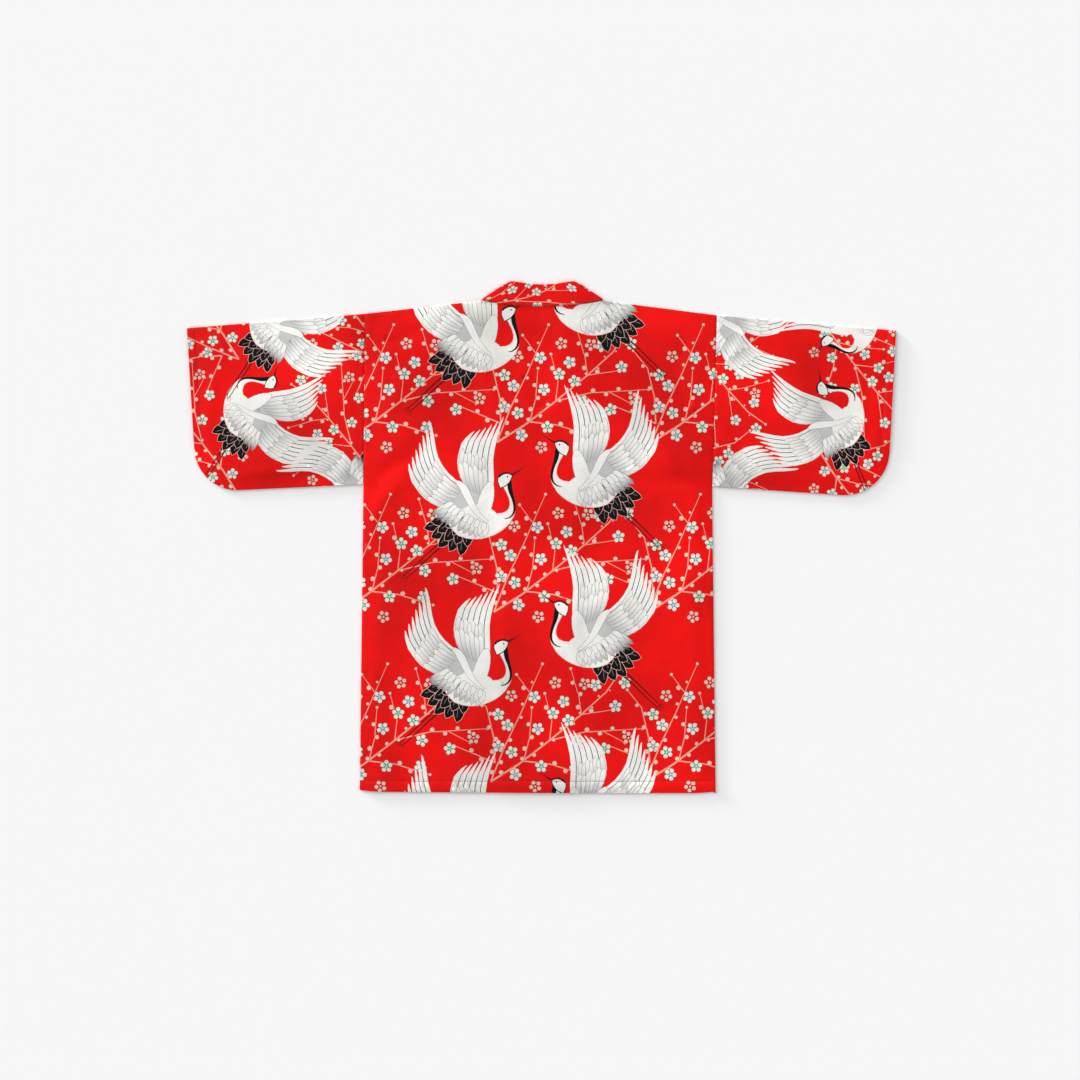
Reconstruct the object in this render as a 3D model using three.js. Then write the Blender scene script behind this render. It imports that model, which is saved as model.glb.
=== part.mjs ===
// A short kimono coat laid flat, face down: the back, the sleeves and the collar show, and the two fronts lie
// under the back. Units are millimetres. X runs across the back, Y from the hem to the collar, Z up from the
// surface that the coat lies on. The origin is the middle of its footprint.
import * as THREE from "three";

// Cloth
const WALL = 1.2; // one layer of cloth
const GAP = 0.3; // between two pieces that meet
const LOFT = 2.0; // how far the upper layer stands off the lower one in the middle of a piece
const HEM_EXTRA = 0.6; // a turned hem is that much thicker
const HEM_DEPTH = 20;
const CUFF_HEM_DEPTH = 14;
const HEM_STEP = 4; // over which that thickness ends
const HEM_KEEP = 0.33; // the share of the loft that is left at a hem
const SEAM_KEEP = 0.42; // and at an armhole seam

// Body
const HEM_Y = -434.5; // in the middle of the back
const HEM_CORNER_RISE = 3.5;
const HEM_CORNER_POWER = 20; // the higher, the shorter the rise
const FRONT_RISE = 3; // the hem of a front ends that far above the hem of the back, which hides it
const ARMPIT_Y = 87.5; // the mean of the two sides, as is the next
const SHOULDER_Y = 378.5; // where the armhole seam ends on the shoulder line
const NECK_Y = 402.5; // where the shoulder line meets the collar
const NECK_DIP = 10; // how far the back neckline dips below that
const NECK_POWER = 2.2; // the higher, the flatter the neckline's middle
const NECK_HALF = 102;
const NECK_X = 1.6; // the coat lies a little askew: its middle line leans from here at the neck
const HEM_X = -6.5; // to here at the hem
const SEAM_REACH = 38; // the upper layer comes down to a seam over this distance
const HEM_REACH = 30;

// Sleeves
const SLEEVE_LENGTH = 300;
const ARC_WEIGHT = 0.707; // makes a rational curve a round arc
const SEAM_REACH_SLEEVE = 34;

// Collar, a folded band
const BAND = 2 * WALL; // its two layers
const BAND_WIDTH = 45;
const BAND_INSET = 5; // from the middle line to its free edge, below the neck
const BAND_TURN_Y = -20; // above here the two bands part
const BAND_TURN_POWER = 1.35;
const BAND_CLEARANCE = 6; // the back stays up for that much past a band under it
const BAND_REACH = 26; // and comes down over this distance
const COLLAR_TOP_Y = 439.7; // of the free edge, less the dip in the middle and the drop at the folds
const COLLAR_TOP_DIP = 10;
const COLLAR_TOP_DROP = 11.1;
const COLLAR_DROP_POWER = 10;
const COLLAR_TOP_HALF = 63;
const COLLAR_SAG = 1.2; // the middle of the collar sinks between the two bands under it
const SAG_HALF = 52;
const SAG_REACH = 40;
const TURN_RADIUS = (BAND + GAP) / 2; // of the band's middle where it folds over at the neck
const SLANT_REACH = 110; // the band's cross lines turn towards that fold over this distance
const EDGE_ROUND = 0.5; // how far a cut edge bulges

// How many steps the points of each piece take
const BACK_STEPS = { hem: 2, body: 18, armhole: 13, neck: 8, shoulder: 9 };
const FRONT_STEPS = 26;
const SLEEVE_STEPS = { straight: 9, round: 7, across: 12 };
const COLLAR_STEPS = { fold: 7, neck: 12, across: 4 };

// The corners of each side as [X, Y], with X positive outwards. arc is where the round corner of the sleeve starts,
// from its sharp corner.
const SIDES = {
  left: {
    sign: -1,
    shoulder: [300.4, 379.7],
    armpit: [302.6, 89.3],
    hem: [309, -432.4],
    cuff: [602.5, 355.4],
    corner: [585.6, 75.9],
    arc: 72,
  },
  right: {
    sign: 1,
    shoulder: [297.7, 377.3],
    armpit: [289.9, 85.6],
    hem: [296, -434.9],
    cuff: [602.5, 351.3],
    corner: [587.2, 65.7],
    arc: 78,
  },
};

// Soft ridges (height above 0) and troughs of the upper layer. Angle is from X, in degrees.
const CREASES = [
  { x: -262, y: 118, angle: 38, length: 52, width: 17, height: -1.5 },
  { x: -228, y: 168, angle: 52, length: 60, width: 20, height: 1.1 },
  { x: 246, y: 96, angle: -8, length: 58, width: 16, height: -1.6 },
  { x: 214, y: 132, angle: -32, length: 64, width: 20, height: 1.2 },
  { x: -160, y: 268, angle: 74, length: 120, width: 34, height: -0.8 },
  { x: 172, y: 282, angle: 106, length: 110, width: 32, height: -0.7 },
  { x: -196, y: -120, angle: 88, length: 190, width: 38, height: 0.9 },
  { x: 128, y: -90, angle: 93, length: 210, width: 42, height: 0.8 },
  { x: -88, y: 20, angle: 84, length: 170, width: 30, height: -0.8 },
  { x: 226, y: -250, angle: 80, length: 150, width: 34, height: -0.9 },
  { x: -250, y: -310, angle: 98, length: 120, width: 30, height: -0.8 },
  { x: 30, y: -300, angle: 90, length: 130, width: 40, height: 0.7 },
  { x: -350, y: 150, angle: 64, length: 70, width: 20, height: -1.2 },
  { x: -420, y: 262, angle: 12, length: 110, width: 30, height: 0.9 },
  { x: -506, y: 176, angle: 70, length: 80, width: 28, height: -0.9 },
  { x: -404, y: 128, angle: -4, length: 90, width: 22, height: 0.8 },
  { x: 344, y: 138, angle: 118, length: 74, width: 20, height: -1.3 },
  { x: 430, y: 250, angle: -14, length: 120, width: 30, height: 0.9 },
  { x: 512, y: 158, angle: 104, length: 84, width: 28, height: -0.9 },
  { x: 396, y: 112, angle: 6, length: 90, width: 22, height: 0.8 },
];

const lerp = (a, b, t) => a + (b - a) * t;
const clamp = (t) => Math.min(1, Math.max(0, t));
const smooth = (t) => clamp(t) ** 2 * (3 - 2 * clamp(t));
const along = (p, q, t) => [lerp(p[0], q[0], t), lerp(p[1], q[1], t)];
const steps = (n, from = 0, to = 1) => Array.from({ length: n + 1 }, (_, i) => lerp(from, to, i / n));

// The plan of the body

const middleX = (y) => lerp(HEM_X, NECK_X, clamp((y - HEM_Y) / (SHOULDER_Y - HEM_Y)));

// How far the side seam or the armhole seam lies from X = 0.
function sideX({ hem, armpit, shoulder }, y) {
  const [from, to] = y < armpit[1] ? [hem, armpit] : [armpit, shoulder];
  return lerp(from[0], to[0], clamp((y - from[1]) / (to[1] - from[1])));
}

// across runs from -1 at the left side seam to 1 at the right one.
function hemY(across) {
  const side = across < 0 ? SIDES.left : SIDES.right;
  return lerp(HEM_Y, side.hem[1], Math.abs(across)) + HEM_CORNER_RISE * Math.abs(across) ** HEM_CORNER_POWER;
}

const neckY = (t) => NECK_Y - NECK_DIP * (1 - Math.abs(t) ** NECK_POWER);

// The top edge of the back at the place where its top row has this X.
function topY(x) {
  const t = (x - NECK_X) / NECK_HALF;
  if (Math.abs(t) <= 1) return neckY(t) - GAP;
  const { sign, shoulder } = t < 0 ? SIDES.left : SIDES.right;
  const out = sign * (x - NECK_X) - NECK_HALF;
  return lerp(NECK_Y - GAP, shoulder[1], out / (shoulder[0] - sign * NECK_X - NECK_HALF));
}

// The two bands of the collar under the back part towards the neck.
const bandShift = (y) =>
  (NECK_HALF - BAND_INSET - BAND_WIDTH) * clamp((y - BAND_TURN_Y) / (NECK_Y - BAND_TURN_Y)) ** BAND_TURN_POWER;
const bandSeam = (y) => BAND_INSET + BAND_WIDTH + bandShift(y);
const bandFree = (y) => BAND_INSET + bandShift(y);

// The heights of the upper layer

function creases(x, y) {
  let height = 0;
  for (const c of CREASES) {
    const turn = THREE.MathUtils.degToRad(c.angle);
    const u = (x - c.x) * Math.cos(turn) + (y - c.y) * Math.sin(turn);
    const v = (y - c.y) * Math.cos(turn) - (x - c.x) * Math.sin(turn);
    height += c.height * Math.exp(-((u / c.length) ** 2) - (v / c.width) ** 2);
  }
  return height;
}

// 1 where a band of the collar lies under the back, and 0 a little away from it.
function overBand(x, y) {
  const out = Math.abs(x - middleX(y));
  const beside = Math.max(bandFree(y) - out, out - bandSeam(y)) - BAND_CLEARANCE;
  return 1 - smooth(beside / BAND_REACH);
}

function backUnderside(x, y) {
  const side = x < middleX(y) ? SIDES.left : SIDES.right;
  const toSide = sideX(side, y) - side.sign * x;
  const keep = SEAM_KEEP * smooth((y - ARMPIT_Y) / SEAM_REACH); // the armhole seam lies higher than the side seam
  const rise =
    lerp(keep, 1, smooth(toSide / SEAM_REACH)) *
    smooth((topY(x) - y) / SEAM_REACH) *
    lerp(HEM_KEEP, 1, smooth((y - HEM_Y) / HEM_REACH));
  return WALL * (1 + overBand(x, y)) + GAP + Math.max(0, rise * (LOFT + creases(x, y)));
}

const hemExtra = (y) => HEM_EXTRA * (1 - smooth((y - HEM_Y - HEM_DEPTH) / HEM_STEP));

// Closed meshes from loops of points

// Joins loops that have the same number of points. The last loop is joined to the first, or each end is closed by
// a ladder between the two halves of its loop.
function loft(loops, ringed) {
  const n = loops[0].length;
  const index = [];
  const quad = (a, b, c, d) => index.push(a, b, c, a, c, d);
  const pairs = ringed ? loops.length : loops.length - 1;
  for (let j = 0; j < pairs; j++) {
    const [here, next] = [j * n, ((j + 1) % loops.length) * n];
    for (let i = 0; i < n; i++) quad(here + i, here + ((i + 1) % n), next + ((i + 1) % n), next + i);
  }
  for (const [base, flip] of ringed ? [] : [[0, true], [(loops.length - 1) * n, false]]) {
    for (let k = 0; k < n / 2; k++) {
      const [a, b, c, d] = [k, k + 1, n - k - 1, (n - k) % n].map((i) => base + i);
      const tris = [b !== c && [a, b, c], a !== d && [a, c, d]].filter(Boolean);
      for (const t of tris) index.push(...(flip ? t.reverse() : t));
    }
  }
  const geometry = new THREE.BufferGeometry();
  geometry.setAttribute("position", new THREE.Float32BufferAttribute(loops.flat(2), 3));
  geometry.setIndex(index);
  geometry.computeVertexNormals();
  return geometry;
}

// The back: one wide panel, a loop of points round it for each row

function backPanel() {
  const rows = [
    ...steps(BACK_STEPS.hem, HEM_Y, HEM_Y + HEM_DEPTH),
    ...steps(BACK_STEPS.body, HEM_Y + HEM_DEPTH + HEM_STEP, ARMPIT_Y),
    ...steps(BACK_STEPS.armhole, ARMPIT_Y, SHOULDER_Y).slice(1),
  ].map((y) => (y - HEM_Y) / (SHOULDER_Y - HEM_Y));
  const columns = [];
  for (const side of [SIDES.left, SIDES.right]) {
    const neck = NECK_HALF / (side.shoulder[0] - side.sign * NECK_X);
    const reaches = [...steps(BACK_STEPS.neck, 0, neck), ...steps(BACK_STEPS.shoulder, neck, 1).slice(1)];
    const half = reaches.map((reach) => reach * side.sign);
    columns.push(...(side.sign < 0 ? half.reverse() : half.slice(1)));
  }
  const point = (across, share) => {
    const side = across < 0 ? SIDES.left : SIDES.right;
    const topX = lerp(NECK_X, side.sign * side.shoulder[0], Math.abs(across));
    const y = lerp(hemY(across), topY(topX), share);
    return [lerp(middleX(y), side.sign * sideX(side, y), Math.abs(across)), y];
  };
  const loops = rows.map((share) => {
    const row = columns.map((across) => point(across, share));
    const under = row.map(([x, y]) => [x, y, backUnderside(x, y)]);
    const over = under.map(([x, y, z]) => [x, y, z + WALL + hemExtra(y)]);
    const edge = (i) => [row[i][0], row[i][1], (under[i][2] + over[i][2]) / 2];
    for (const [i, sign] of [[0, 1], [row.length - 1, -1]]) {
      under[i][0] += sign * EDGE_ROUND;
      over[i][0] += sign * EDGE_ROUND;
    }
    return [edge(0), ...under, edge(row.length - 1), ...over.reverse()];
  });
  return loft(loops.reverse(), false);
}

// The fronts: flat on the surface, from the side seam to the seam of the collar's band

const FRONT_ROWS = steps(FRONT_STEPS, HEM_Y + FRONT_RISE, NECK_Y);

function frontPanel(side) {
  const inner = FRONT_ROWS.map((y) => [
    middleX(y) + side.sign * (bandSeam(y) + GAP),
    Math.min(y, NECK_Y - GAP),
  ]);
  const { shoulder, armpit, hem } = side;
  const outer = [shoulder, armpit, [hem[0], hem[1] + FRONT_RISE]].map(([x, y]) => [side.sign * x, y]);
  const outline = [...inner, ...outer].map(([x, y]) => new THREE.Vector2(x, y));
  return new THREE.ExtrudeGeometry(new THREE.Shape(outline), { depth: WALL, bevelEnabled: false });
}

// The sleeves: each a tube pressed flat, folded at the top, with a round corner below the cuff

function arc(p, corner, q, t) {
  const weights = [(1 - t) ** 2, 2 * ARC_WEIGHT * t * (1 - t), t ** 2];
  const sum = weights[0] + weights[1] + weights[2];
  return [0, 1].map((k) => (p[k] * weights[0] + corner[k] * weights[1] + q[k] * weights[2]) / sum);
}

const towards = (p, q, distance) => along(p, q, distance / Math.hypot(q[0] - p[0], q[1] - p[1]));

// The two ends, in plan, of each cross line of a sleeve, from the armhole to the cuff.
function sleeveLines(side) {
  const { corner, cuff } = side;
  const [armpit, shoulder] = [side.armpit, side.shoulder].map(([x, y]) => [x + GAP, y]);
  const arcStart = towards(corner, armpit, side.arc);
  const arcEnd = towards(corner, cuff, side.arc);
  const straight = steps(SLEEVE_STEPS.straight).map((t) => along(armpit, arcStart, t));
  const round = steps(SLEEVE_STEPS.round).slice(1).map((t) => arc(arcStart, corner, arcEnd, t));
  const feet = [...straight, ...round];
  return feet.map((foot, j) => {
    const share = j / (feet.length - 1);
    return { foot, head: along(shoulder, cuff, share), share };
  });
}

// Height of the inside of a sleeve's upper wall. share runs from the armhole to the cuff.
function sleeveUnderside(x, y, share, toEdge) {
  const rise =
    smooth(toEdge / SEAM_REACH_SLEEVE) *
    lerp(SEAM_KEEP, 1, smooth((share * SLEEVE_LENGTH) / SEAM_REACH_SLEEVE)) *
    lerp(HEM_KEEP, 1, smooth(((1 - share) * SLEEVE_LENGTH) / HEM_REACH));
  return WALL + GAP + Math.max(0, rise * (LOFT + creases(x, y)));
}

function sleeve(side) {
  const outside = [];
  const inside = [];
  const fold = WALL + GAP / 2; // radius of the outside of the fold at the top and at the foot
  for (const { foot, head, share } of sleeveLines(side)) {
    const length = Math.hypot(head[0] - foot[0], head[1] - foot[1]);
    const extra = HEM_EXTRA * smooth(1 + (CUFF_HEM_DEPTH - (1 - share) * SLEEVE_LENGTH) / HEM_STEP);
    const place = (w, z) => {
      const [x, y] = along(foot, head, w);
      return [side.sign * x, y, z];
    };
    const shares = steps(SLEEVE_STEPS.across, fold / length, 1 - fold / length);
    const insideShares = steps(SLEEVE_STEPS.across, (fold + WALL) / length, 1 - (fold + WALL) / length);
    const under = (w) => {
      const [x, y] = place(w, 0);
      return sleeveUnderside(x, y, share, length * Math.min(w, 1 - w));
    };
    outside.push([
      place(0, fold),
      ...shares.map((w) => place(w, 0)),
      place(1, fold),
      ...shares.map((w) => place(w, under(w) + WALL + extra)).reverse(),
    ]);
    inside.push([
      place(WALL / length, fold),
      ...insideShares.map((w) => place(w, WALL)),
      place(1 - WALL / length, fold),
      ...insideShares.map((w) => place(w, under(w))).reverse(),
    ]);
  }
  const loops = [...outside, ...inside.reverse()];
  return loft(side.sign < 0 ? loops.reverse() : loops, true);
}

// The collar: one band, up a front, folded over at the neck, along the back neckline and down the other front

const collarTopY = (t) =>
  COLLAR_TOP_Y - COLLAR_TOP_DIP * (1 - t ** 2) - COLLAR_TOP_DROP * Math.abs(t) ** COLLAR_DROP_POWER;
const sag = (x) => COLLAR_SAG * smooth((SAG_HALF - Math.abs(x - NECK_X)) / SAG_REACH);

// Cross lines of one half, from the hem to the middle of the back: seam end, free end, and the way its outer face
// looks. Points are for the right half.
function collarLines() {
  const lines = [];
  const tip = [NECK_HALF, NECK_Y];
  const peak = [COLLAR_TOP_HALF, collarTopY(1)];
  for (const y of FRONT_ROWS) {
    const slant = smooth((y - NECK_Y + SLANT_REACH) / SLANT_REACH);
    lines.push({
      seam: [bandSeam(y), y, BAND / 2],
      free: [lerp(bandFree(y), peak[0], slant), y + (peak[1] - tip[1]) * slant, BAND / 2],
      outer: [0, 0, -1],
    });
  }
  const length = Math.hypot(peak[0] - tip[0], peak[1] - tip[1]);
  const away = [(peak[1] - tip[1]) / length, (tip[0] - peak[0]) / length];
  for (const angle of steps(COLLAR_STEPS.fold, 0, Math.PI).slice(1, -1)) {
    const out = TURN_RADIUS * Math.sin(angle);
    const z = BAND / 2 + TURN_RADIUS * (1 - Math.cos(angle));
    lines.push({
      seam: [tip[0] + away[0] * out, tip[1] + away[1] * out, z],
      free: [peak[0] + away[0] * out, peak[1] + away[1] * out, z],
      outer: [away[0] * Math.sin(angle), away[1] * Math.sin(angle), -Math.cos(angle)],
    });
  }
  for (const t of steps(COLLAR_STEPS.neck, 1, 0)) {
    const z = BAND / 2 + 2 * TURN_RADIUS;
    lines.push({
      seam: [NECK_HALF * t, neckY(t), z],
      free: [COLLAR_TOP_HALF * t, collarTopY(t), z],
      outer: [0, 0, 1],
      back: true,
    });
  }
  return lines;
}

function collar() {
  const half = collarLines();
  const mirrored = half.slice(0, -1).map(({ seam, free, outer, back }) => ({
    seam: [-seam[0], seam[1], seam[2]],
    free: [-free[0], free[1], free[2]],
    outer: [-outer[0], outer[1], outer[2]],
    back,
  }));
  const lines = [...mirrored, ...half.reverse()];
  const loops = lines.map(({ seam, free, outer, back }) => {
    const at = (w, side) => {
      const p = [0, 1, 2].map((k) => lerp(seam[k], free[k], w) + (side * outer[k] * BAND) / 2);
      const x = p[0] + middleX(p[1]);
      return [x, p[1], p[2] - (back ? sag(x) : 0)];
    };
    const shares = steps(COLLAR_STEPS.across, EDGE_ROUND / BAND_WIDTH, 1 - EDGE_ROUND / BAND_WIDTH);
    const face = (side) => shares.map((w) => at(w, side));
    return [at(0, 0), ...face(1), at(1, 0), ...face(-1).reverse()];
  });
  return loft(loops.reverse(), false);
}

// The coat

const cloth = (color) => new THREE.MeshStandardMaterial({ color, roughness: 0.62, metalness: 0 });
const COLOURS = { back: 0xd81410, front: 0xc9120f, sleeve: 0xd81613, collar: 0xdb1d18 };

const coat = new THREE.Group();

function add(name, geometry, color) {
  const mesh = new THREE.Mesh(geometry, cloth(color));
  mesh.name = name;
  coat.add(mesh);
}

add("back", backPanel(), COLOURS.back);
for (const [name, side] of Object.entries(SIDES)) {
  add("front_" + name, frontPanel(side), COLOURS.front);
  add("sleeve_" + name, sleeve(side), COLOURS.sleeve);
}
add("collar", collar(), COLOURS.collar);

export default coat;
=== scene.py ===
"""A short kimono coat of printed cloth, laid flat and face down on a pale floor, seen from straight above.

The panels are drawn flat, in millimetres, as a maker would cut them. Each is then laid in its place as a thin
shell. The print is drawn as filled outlines, and the cloth's triangles follow them.
"""
import math

import bpy
import numpy as np
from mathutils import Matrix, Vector
from mathutils.geometry import delaunay_2d_cdt


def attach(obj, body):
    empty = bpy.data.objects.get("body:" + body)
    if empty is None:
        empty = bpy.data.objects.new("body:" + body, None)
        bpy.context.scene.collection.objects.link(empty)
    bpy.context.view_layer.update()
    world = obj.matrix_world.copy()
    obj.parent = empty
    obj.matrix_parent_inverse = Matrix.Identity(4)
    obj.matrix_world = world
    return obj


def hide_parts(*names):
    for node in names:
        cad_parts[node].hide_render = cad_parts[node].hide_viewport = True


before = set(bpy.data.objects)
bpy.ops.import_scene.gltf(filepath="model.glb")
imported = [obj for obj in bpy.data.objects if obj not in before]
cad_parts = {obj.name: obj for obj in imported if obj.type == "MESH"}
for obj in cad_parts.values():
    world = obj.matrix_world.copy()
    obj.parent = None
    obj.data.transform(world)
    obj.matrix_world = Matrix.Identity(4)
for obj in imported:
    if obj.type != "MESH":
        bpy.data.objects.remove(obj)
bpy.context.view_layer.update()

MM = 0.001

# Cloth
WALL = 1.2  # a layer of cloth in the solid model, which sets the heights
GAP = 0.3
CLOTH = 0.8  # a layer of cloth here
LOFT = 2.0  # how far the upper layer stands off the lower one in the middle of a piece
HEM_EXTRA = 0.6
HEM_DEPTH = 20
CUFF_HEM_DEPTH = 14
HEM_STEP = 4
HEM_KEEP = 0.33
SEAM_KEEP = 0.42
GROOVE_WIDTH = 1.6
EDGE_RADIUS = 0.9  # of the back's turned edges

# Body
HEM_Y = -434.5
HEM_CORNER_RISE = 3.5
HEM_CORNER_POWER = 20
FRONT_RISE = 3
FRONT_LIFT = 0.02  # of the fronts over the floor
FRONT_RADIUS = 0.8  # of their turned edges
HEM_LINE = (-303, 290)  # x of both ends of the back's row of stitches
FRONT_HEM_LINE = (56, 3)  # how far a front's row starts from the middle line and ends before the side
ARMPIT_Y = 87.5
SHOULDER_Y = 378.5
NECK_Y = 402.5
NECK_DIP = 10
NECK_POWER = 2.2
NECK_HALF = 102
NECK_X = 1.6
HEM_X = -6.5
SEAM_REACH = 38
HEM_REACH = 30

# Sleeves
ARC_WEIGHT = 0.707
SEAM_REACH_SLEEVE = 34
FOLD = WALL + GAP / 2  # radius of a sleeve's fold and of its closed edge
FOLD_LINES = (-2.1, -1.4, -0.7, 0, 0.7, 1.4, 2.1)  # of the mesh, by how far they lie from the fold

# Collar, a folded band
BAND = 2 * WALL
BAND_WIDTH = 45
BAND_INSET = 5
BAND_TURN_Y = -20
BAND_TURN_POWER = 1.35
BAND_CLEARANCE = 6
BAND_REACH = 26
COLLAR_TOP_Y = 439.7
COLLAR_TOP_DIP = 10
COLLAR_TOP_DROP = 11.1
COLLAR_DROP_POWER = 10
COLLAR_TOP_HALF = 63
COLLAR_SAG = 1.2
SAG_HALF = 52
SAG_REACH = 40
TURN_RADIUS = (BAND + GAP) / 2
SLANT_REACH = 110

# The corners of each side as (x, y), with x positive outwards, and where the sleeve's round corner starts
SIDES = {
    "left": {
        "sign": -1,
        "shoulder": (300.4, 379.7),
        "armpit": (302.6, 89.3),
        "hem": (309, -432.4),
        "cuff": (602.5, 355.4),
        "corner": (585.6, 75.9),
        "arc": 72,
    },
    "right": {
        "sign": 1,
        "shoulder": (297.7, 377.3),
        "armpit": (289.9, 85.6),
        "hem": (296, -434.9),
        "cuff": (602.5, 351.3),
        "corner": (587.2, 65.7),
        "arc": 78,
    },
}

# Creases of the upper layer, the smaller ones last: x, y, angle from X in degrees, length, width and height
CREASES = [
    (-262, 118, 38, 52, 17, -1.5), (-228, 168, 52, 60, 20, 1.1),
    (246, 96, -8, 58, 16, -1.6), (214, 132, -32, 64, 20, 1.2),
    (-160, 268, 74, 120, 34, -0.8), (172, 282, 106, 110, 32, -0.7),
    (-196, -120, 88, 190, 38, 0.9), (128, -90, 93, 210, 42, 0.8),
    (-88, 20, 84, 170, 30, -0.8), (226, -250, 80, 150, 34, -0.9),
    (-250, -310, 98, 120, 30, -0.8), (30, -300, 90, 130, 40, 0.7),
    (-350, 150, 64, 70, 20, -1.2), (-420, 262, 12, 110, 30, 0.9),
    (-506, 176, 70, 80, 28, -0.9), (-404, 128, -4, 90, 22, 0.8),
    (344, 138, 118, 74, 20, -1.3), (430, 250, -14, 120, 30, 0.9),
    (512, 158, 104, 84, 28, -0.9), (396, 112, 6, 90, 22, 0.8),
    (-276, 96, 62, 30, 9, -0.9), (-258, 74, 40, 34, 8, 1.2),
    (-240, 128, 30, 40, 10, -0.8), (-284, 40, 80, 36, 8, 1.1),
    (-270, 10, 96, 40, 10, -1.1), (-250, 236, 70, 44, 10, 1.1),
    (-226, 344, 20, 36, 9, -1.1), (-262, 330, 118, 30, 8, 0.9),
    (262, 92, -48, 34, 9, -1.0), (232, 118, -26, 46, 10, 1.0),
    (204, 98, -8, 40, 9, -1.2), (266, 36, 96, 40, 9, 1.1),
    (252, 200, 112, 46, 10, -1.1), (196, 340, -24, 44, 10, 1.1),
    (240, 318, 70, 34, 8, -0.9), (60, 376, 4, 40, 8, -0.7),
    (-4, 372, 90, 26, 4, -0.9), (-40, -392, 92, 26, 9, 0.7),
    (170, -398, 84, 24, 9, -0.7), (-210, -396, 98, 26, 9, 0.7),
    (262, -380, 70, 30, 8, -0.9), (-286, -200, 86, 70, 10, 0.9),
    (276, -150, 92, 80, 10, -0.9), (-326, 112, 26, 40, 9, 1.2),
    (-372, 106, 8, 44, 8, -1.1), (-338, 330, 130, 34, 9, -1.1),
    (-560, 250, 84, 44, 9, 0.9), (-470, 110, 2, 50, 8, 0.9),
    (-530, 330, 100, 30, 8, -0.9), (318, 116, 128, 40, 9, -1.0),
    (366, 102, -10, 44, 8, 1.1), (330, 320, 58, 36, 9, 1.1),
    (466, 112, 4, 50, 8, -1.1), (556, 240, 96, 46, 9, -0.9),
    (528, 322, 80, 30, 8, 0.9),
]


def lerp(a, b, t):
    return a + (b - a) * t


def clamp(t):
    return np.clip(t, 0, 1)


def smooth(t):
    return clamp(t) ** 2 * (3 - 2 * clamp(t))


def unit(v):
    """The same way with a length of 1."""
    return v / (np.linalg.norm(v, axis=-1, keepdims=True) + 1e-9)


def toward(degrees):
    """The way at an angle from X."""
    a = math.radians(degrees)
    return np.array([math.cos(a), math.sin(a)])


def xy(x, y):
    """Points from their xs and ys. One of the two may be a single number."""
    return np.stack(np.broadcast_arrays(x, y), -1)


def runs(line):
    """How far each point of a line is from its start, along it."""
    return np.concatenate([[0], np.cumsum(np.linalg.norm(np.diff(line, axis=0), axis=1))])


# The plan of the body


def middle_x(y):
    return lerp(HEM_X, NECK_X, clamp((y - HEM_Y) / (SHOULDER_Y - HEM_Y)))


def side_x(side, y):
    """How far the side seam or the armhole seam lies from x = 0."""
    xs, ys = zip(*(side[corner] for corner in ("hem", "armpit", "shoulder")))
    return np.interp(y, ys, xs)


def by_side(x, y, value):
    """value(side) of the left side or the right one, whichever side of the middle line a point is on."""
    return np.where(x < middle_x(y), value(SIDES["left"]), value(SIDES["right"]))


def hem_y(across):
    side_y = np.where(across < 0, SIDES["left"]["hem"][1], SIDES["right"]["hem"][1])
    reach = np.abs(across)
    return lerp(HEM_Y, side_y, reach) + HEM_CORNER_RISE * reach**HEM_CORNER_POWER


def neck_y(t):
    return NECK_Y - NECK_DIP * (1 - np.abs(t) ** NECK_POWER)


def top_y(x):
    """The top edge of the back."""
    t = (x - NECK_X) / NECK_HALF
    side = {k: by_side(x, SHOULDER_Y, lambda s: s["shoulder"][k]) for k in (0, 1)}
    out = np.abs(x - NECK_X) - NECK_HALF
    slope = out / (side[0] + np.where(x < NECK_X, NECK_X, -NECK_X) - NECK_HALF)
    return np.where(np.abs(t) <= 1, neck_y(t) - GAP, lerp(NECK_Y - GAP, side[1], slope))


def band_shift(y):
    """The two bands of the collar part towards the neck."""
    share = clamp((y - BAND_TURN_Y) / (NECK_Y - BAND_TURN_Y))
    return (NECK_HALF - BAND_INSET - BAND_WIDTH) * share**BAND_TURN_POWER


def band_seam(y):
    return BAND_INSET + BAND_WIDTH + band_shift(y)


def band_free(y):
    return BAND_INSET + band_shift(y)


# The heights of the upper layer


def creases(x, y):
    total = 0
    for at_x, at_y, angle, length, width, height in CREASES:
        c, s = toward(angle)
        u = (x - at_x) * c + (y - at_y) * s
        v = (y - at_y) * c - (x - at_x) * s
        total = total + height * np.exp(-((u / length) ** 2) - (v / width) ** 2)
    return total


def over_band(x, y):
    """1 where a band of the collar lies under the back, and 0 a little away from it."""
    out = np.abs(x - middle_x(y))
    beside = np.maximum(band_free(y) - out, out - band_seam(y)) - BAND_CLEARANCE
    return 1 - smooth(beside / BAND_REACH)


def to_side(x, y):
    return by_side(x, y, lambda side: side_x(side, y) - side["sign"] * x)


def back_top(x, y):
    """Height of the back's outer face."""
    keep = SEAM_KEEP * smooth((y - ARMPIT_Y) / SEAM_REACH)
    rise = (
        lerp(keep, 1, smooth(to_side(x, y) / SEAM_REACH))
        * smooth((top_y(x) - y) / SEAM_REACH)
        * lerp(HEM_KEEP, 1, smooth((y - HEM_Y) / HEM_REACH))
    )
    hem = HEM_EXTRA * (1 - smooth((y - HEM_Y - HEM_DEPTH) / HEM_STEP))
    under = WALL * (1 + over_band(x, y)) + GAP + np.maximum(0, rise * (LOFT + creases(x, y)))
    return under + WALL + hem


def rolled(distance, radius):
    """How far a face drops at that distance from an edge that is turned with that radius."""
    inward = radius - np.minimum(np.maximum(distance, 0), radius)
    return radius - np.sqrt(np.maximum(radius**2 - inward**2, 0))


def stitch_groove(distance, depth):
    return -depth * np.exp(-((distance / GROOVE_WIDTH) ** 2))


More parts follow.
